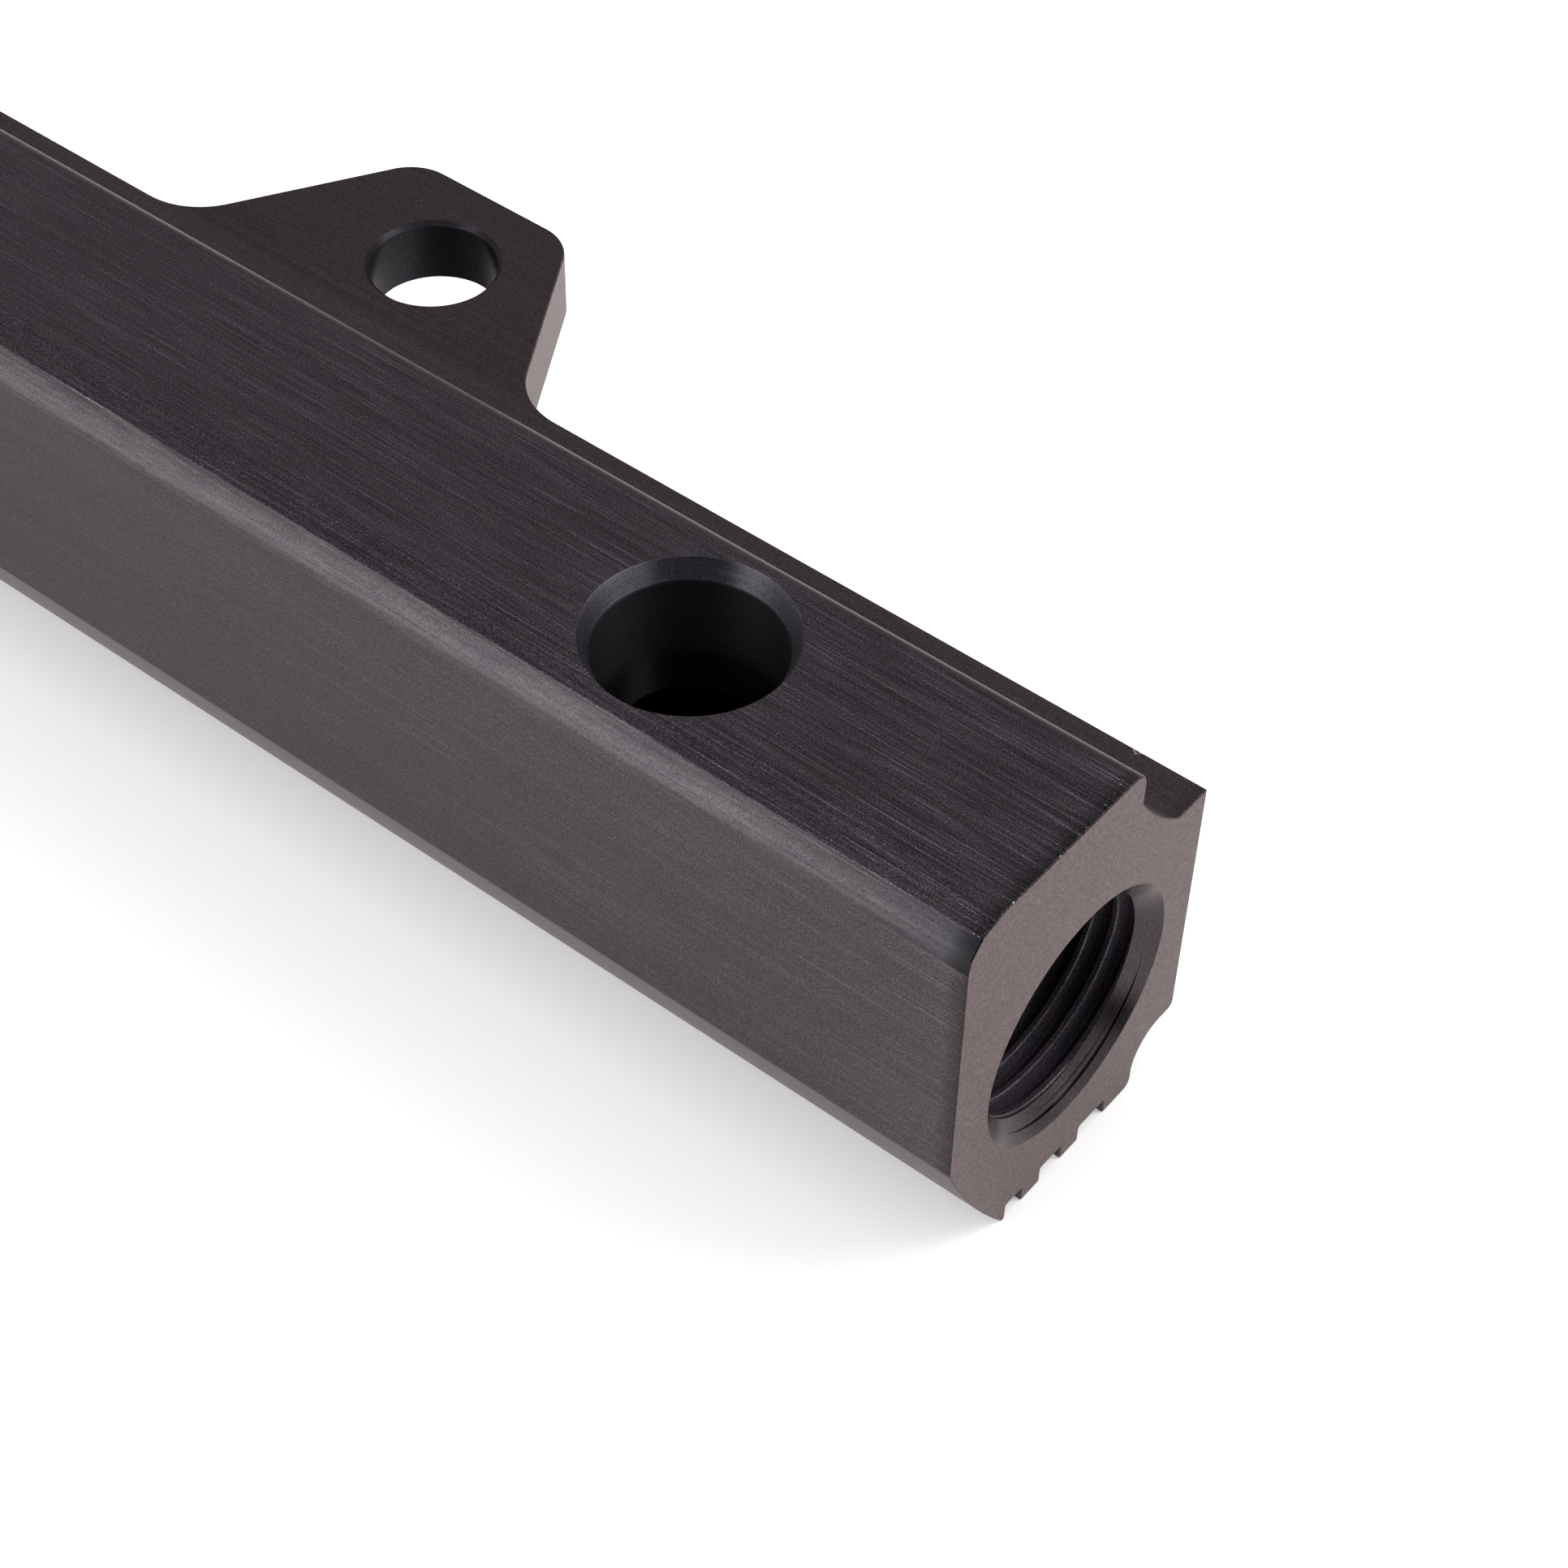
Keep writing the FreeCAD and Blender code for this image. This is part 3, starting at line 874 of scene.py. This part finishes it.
def matte(name, colour, roughness):
    """As extruded and etched: fine grain with faint draw lines along the bar.

    It is lighter low down with painted light, and warmer at the ribs and a little darker on the ears.
    Painted shade darkens its end and the top's back round, under a paler edge that is a painted highlight.
    """
    make, place, to_end = new_finish(name)
    lines = make.noise(place, (25, 0.25, 0.25))
    cloud = make.noise(place, (14, 3, 3))
    grain = make.noise(place, (0.14,) * 3, 1.0)
    _, across, height = make.parts(place)
    # Painted light: the back is lighter low down
    painted_low_light = make.fade(height, *LOW_BACK_HEIGHTS, 0.30, 0.0)
    on_ears = make.fade(across, 5, 6, 0.0, -0.25)
    # Painted shade along the top's back round, with a painted highlight on its upper edge
    painted_round_shade = make.fade(height, *BACK_ROUND_HEIGHTS, 0.0, -1.6)
    painted_edge_highlight = make.fade(height, *TOP_EDGE_HEIGHTS, 0.0, 1.6)
    # Painted shade at the end
    painted_end_shade = make.fade(to_end, 0.1, 1.2, -0.4, 0.0)
    stops = make.total(make.swing(lines, 0.9), make.swing(cloud, 0.35), make.swing(grain, 2.4),
                       painted_low_light, on_ears, painted_round_shade, painted_edge_highlight, painted_end_shade)
    warmth = make.math("ADD", make.swing(make.noise(place, (5, 1, 1)), 0.1),
                       make.fade(height, *RIB_HEIGHTS, 0.04, 0.0))
    anodised_skin(make, make.tinted(colour, stops, warmth), roughness, grain, 0.01)


def milled(name, colour, roughness):
    """Milled and etched to an even satin with fine grain."""
    make, place, _ = new_finish(name)
    cloud = make.noise(place, (6,) * 3)
    grain = make.noise(place, (0.18,) * 3, 1.0)
    stops = make.total(make.swing(cloud, 0.22), make.swing(grain, 3.6))
    anodised_skin(make, make.tinted(colour, stops, make.swing(cloud, 0.04)), roughness, grain, 0.006)


def turned_lines(name, colour, roughness, axis, contrast, stretched):
    """Turned or bored: fine rings round an axis, from noise stretched far across it and short along it.

    The grooves run along axis x normal, and highlights stretch across them. Upright holes have a smoother
    lead-in, lightened with painted light, over a dull bore darkened with painted shade, which gets smoother
    and lighter again low down, by the ears.
    """
    make, place, _ = new_finish(name)
    stretch = [8] * 3
    stretch[axis] = 0.08
    rings = make.noise(place, stretch)
    grain = make.noise(place, (0.15,) * 3, 1.0)
    stops = make.total(make.swing(rings, contrast), make.swing(grain, 1.0 + contrast))
    warmth = make.swing(make.noise(place, (2,) * 3), 0.15)
    rough = make.math("ADD", roughness, make.swing(rings, 0.15))
    if axis == UPRIGHT:
        height = make.parts(place)[2]
        rough = make.total(rough, make.fade(height, *LEAD_IN_FOOT_HEIGHTS, 0.0, -0.32),
                           make.fade(height, *EAR_TO_POCKET_HEIGHTS, -0.30, 0.0))
        # Painted shade darkens the bore under the lead-in and painted light lifts the lead-in; the ear holes
        # low down are a little lighter
        stops = make.total(stops, make.fade(height, *LEAD_IN_FOOT_HEIGHTS, -1.5, 0.6),
                           make.fade(height, *EAR_TO_POCKET_HEIGHTS, 0.3, 0.0))
    normal = make.add("ShaderNodeNewGeometry").outputs["Normal"]
    spindle = tuple(float(i == axis) for i in range(3))
    grooves = make.add("ShaderNodeVectorMath", {0: spindle, 1: normal}, operation="CROSS_PRODUCT").outputs[0]
    anodised_skin(make, make.tinted(colour, stops, warmth), rough, rings, 0.01, (stretched, grooves))


def finishes(looks):
    """The body's finishes, one for each of its material slots."""
    brushed("brushed_top", looks.brushed_top, roughness=0.34, contrast=1.0, glints=1.6)
    # The front's last argument gives it 0.40 stops of painted shade away from the end
    brushed("satin_front", looks.satin_front, roughness=0.36, contrast=0.35, glints=0.8, far_shade=0.40)
    etched("etched_facet", looks.etched_facet, roughness=0.42)
    matte("matte_back", looks.matte_back, roughness=0.40)
    milled("milled_face", looks.milled_face, roughness=0.36)
    turned_lines("turned_port", looks.turned_port, 0.26, ALONG, contrast=0.8, stretched=0.6)
    turned_lines("cut_thread", looks.cut_thread, 0.75, ALONG, contrast=2.2, stretched=0.0)
    # Painted highlight on the crests' outer edges, with less roughness
    turned_lines("highlit_crest", looks.highlit_crest, 0.45, ALONG, contrast=3.0, stretched=0.0)
    turned_lines("turned_pocket", looks.turned_pocket, 0.70, UPRIGHT, contrast=0.9, stretched=0.8)
    milled("chipped_edge", looks.chipped_edge, roughness=0.30)


class RAIL_OT_body(Operator):
    """Build the rail's body and set it over the CAD part."""

    bl_idname = "fuel_rail.body"
    bl_label = "Build the rail body"

    def execute(self, context):
        sizes = context.scene.rail_sizes
        finishes(context.scene.rail_finish)
        body = bar_blank(sizes)
        machine(body, ears(sizes), "UNION")
        for name, shell, finish in cutters(sizes):
            machine(body, shell_object(name, shell, finish), "DIFFERENCE")
        mesh = body.data
        merge_points(mesh)
        mesh.transform(Matrix.Translation(GALLERY_AXIS))
        mesh.polygons.foreach_set("use_smooth", np.ones(len(mesh.polygons), dtype=bool))
        mesh.set_sharp_from_angle(angle=SHARP_ANGLE)
        weighted = body.modifiers.new("even_shading", "WEIGHTED_NORMAL")
        weighted.keep_sharp = True
        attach(body, "root")
        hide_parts("rail_body")
        return {"FINISHED"}


def placed(right, up, back, place):
    """The matrix of an object with these directions for its X, Y and Z axes, at a place."""
    turn = np.eye(4)
    turn[:3] = np.column_stack([right, up, back, place])
    return Matrix(turn.tolist())


def lamp(name, place, size, power):
    """A square soft box at a place, facing what the lamps light."""
    data = bpy.data.lights.new(name, "AREA")
    data.shape, data.size, data.energy = "SQUARE", size, power
    made = linked(name, data)
    back = np.subtract(place, LAMP_AIM)
    back /= np.linalg.norm(back)
    right = np.cross((0, 0, 1), back)
    right /= np.linalg.norm(right)
    made.matrix_world = placed(right, np.cross(back, right), back, place)


def seen_directly(make):
    """One for camera, mirror and glass rays, and nought for the others."""
    path = make.add("ShaderNodeLightPath").outputs
    seen = make.math("MAXIMUM", path["Is Camera Ray"], path["Is Glossy Ray"])
    return make.math("MAXIMUM", seen, path["Is Transmission Ray"])


def surround(settings):
    """A pale surround with a dark panel behind and over the rail, which its top face mirrors.

    Cameras and glass see it white, mirrors see the panel, and no ray meets less than the level of the room.
    """
    world = bpy.data.worlds.new("studio")
    bpy.context.scene.world = world
    world.use_nodes = True
    make = Nodes(world.node_tree)
    direction = make.add("ShaderNodeTexCoord").outputs["Generated"]
    panel = make.add("ShaderNodeVectorMath", {0: direction, 1: PANEL_DIRECTION}, operation="DOT_PRODUCT")
    darkness = make.remap(panel.outputs["Value"], PANEL_RIM, PANEL_CORE, 0.0, 1.0)
    mirrored = make.remap(darkness, 0.0, 1.0, settings.sky_level, settings.shade_level)
    path = make.add("ShaderNodeLightPath").outputs
    level = make.math("MULTIPLY", path["Is Glossy Ray"], mirrored)
    shown = make.math("MAXIMUM", path["Is Camera Ray"], path["Is Transmission Ray"])
    level = make.math("MAXIMUM", make.math("MAXIMUM", level, shown), ROOM_LEVEL)
    background = make.add("ShaderNodeBackground", {"Color": WHITE, "Strength": level})
    make.add("ShaderNodeOutputWorld", {"Surface": background.outputs[0]})


def flat_sheet(name, corners, material):
    """A four-sided sheet through its corners."""
    mesh = bpy.data.meshes.new(name)
    mesh.from_pydata(corners, [], [[0, 1, 2, 3]])
    mesh.materials.append(material)
    return linked(name, mesh)


def floor_sheet(settings):
    """A wide pale sheet that renders white and keeps the rail's shadow.

    It glows only for rays that see it directly, and less where the rail hides the sky over it.
    """
    material, make = new_material("floor_sheet")
    sheet = make.add("ShaderNodeBsdfDiffuse", {"Color": (*settings.floor_colour, 1)})
    open_sky = make.add("ShaderNodeAmbientOcclusion", {"Distance": settings.shade_reach}).outputs["AO"]
    share = make.remap(open_sky, 0.0, 1.0, SHADED_GLOW, 1.0)
    glow = make.math("MULTIPLY", make.math("MULTIPLY", seen_directly(make), share), settings.floor_glow)
    shine = make.add("ShaderNodeEmission", {"Color": WHITE, "Strength": glow})
    both = make.add("ShaderNodeAddShader", {0: sheet.outputs[0], 1: shine.outputs[0]})
    make.add("ShaderNodeOutputMaterial", {"Surface": both.outputs[0]})
    corners = [(x * FLOOR_HALF, y * FLOOR_HALF, 0.0) for x, y in ((-1, -1), (1, -1), (1, 1), (-1, 1))]
    floor = flat_sheet("floor", corners, material)


def dark_card(settings):
    """A black card before the rail, seen only in mirrors: the backs of the pockets' mouths reflect it."""
    material, make = new_material("black_card")
    black = make.add("ShaderNodeBsdfDiffuse", {"Color": CARD_BLACK})
    make.add("ShaderNodeOutputMaterial", {"Surface": black.outputs[0]})
    toward = np.array(CARD_DIRECTION)
    half_side = settings.card_width / 2 * np.array((-toward[1], toward[0]))
    foot = np.array(CARD_FROM) + CARD_REACH * toward
    left, right = foot - half_side, foot + half_side
    high = settings.card_height
    card = flat_sheet("dark_card", [(*left, 0.0), (*right, 0.0), (*right, high), (*left, high)], material)
    card.visible_camera = card.visible_diffuse = card.visible_shadow = card.visible_transmission = False


def camera():
    """A camera at the photograph's viewing angle, with its focal length and optical centre."""
    data = bpy.data.cameras.new("camera")
    centre_x, centre_y = OPTICAL_CENTRE
    data.sensor_width = 36
    data.lens = FOCAL * data.sensor_width / FRAME_SIDE
    data.shift_x = (FRAME_SIDE / 2 - centre_x) / FRAME_SIDE
    data.shift_y = (centre_y - FRAME_SIDE / 2) / FRAME_SIDE
    data.clip_start, data.clip_end = 0.01, 20
    made = linked("camera", data)
    made.matrix_world = placed(*CAMERA_AXES, CAMERA_PLACE)
    bpy.context.scene.camera = made


class RAIL_OT_studio(Operator):
    """Set up the floor, the surround, the card, the lamps and the camera."""

    bl_idname = "fuel_rail.studio"
    bl_label = "Set up the studio"

    def execute(self, context):
        settings = context.scene.rail_studio
        floor_sheet(settings)
        surround(settings)
        dark_card(settings)
        lamp("key_lamp", *KEY_LAMP, settings.key_power)
        lamp("side_lamp", *SIDE_LAMP, settings.side_power)
        camera()
        context.scene.view_settings.view_transform = "Standard"
        return {"FINISHED"}


class RAIL_PT_sidebar(Panel):
    """Lists the rail's settings and the steps that build it."""

    bl_label = "Fuel rail"
    bl_idname = "RAIL_PT_sidebar"
    bl_space_type = "VIEW_3D"
    bl_region_type = "UI"
    bl_category = "Fuel rail"

    def draw(self, context):
        groups = (context.scene.rail_sizes, context.scene.rail_finish, context.scene.rail_studio)
        for group in groups:
            box = self.layout.box()
            for name in group.__annotations__:
                box.prop(group, name)
        for step in (RAIL_OT_body, RAIL_OT_studio):
            self.layout.operator(step.bl_idname)


CLASSES = (RailSizes, FinishColours, StudioSettings, RAIL_OT_body, RAIL_OT_studio, RAIL_PT_sidebar)


def register():
    for item in CLASSES:
        bpy.utils.register_class(item)
    bpy.types.Scene.rail_sizes = PointerProperty(type=RailSizes)
    bpy.types.Scene.rail_finish = PointerProperty(type=FinishColours)
    bpy.types.Scene.rail_studio = PointerProperty(type=StudioSettings)


def unregister():
    del bpy.types.Scene.rail_studio
    del bpy.types.Scene.rail_finish
    del bpy.types.Scene.rail_sizes
    for item in reversed(CLASSES):
        bpy.utils.unregister_class(item)


def main():
    """Registers the add-on's classes and settings, builds the body and sets up the studio."""
    register()
    bpy.ops.fuel_rail.body()
    bpy.ops.fuel_rail.studio()


if __name__ == "__main__":
    main()
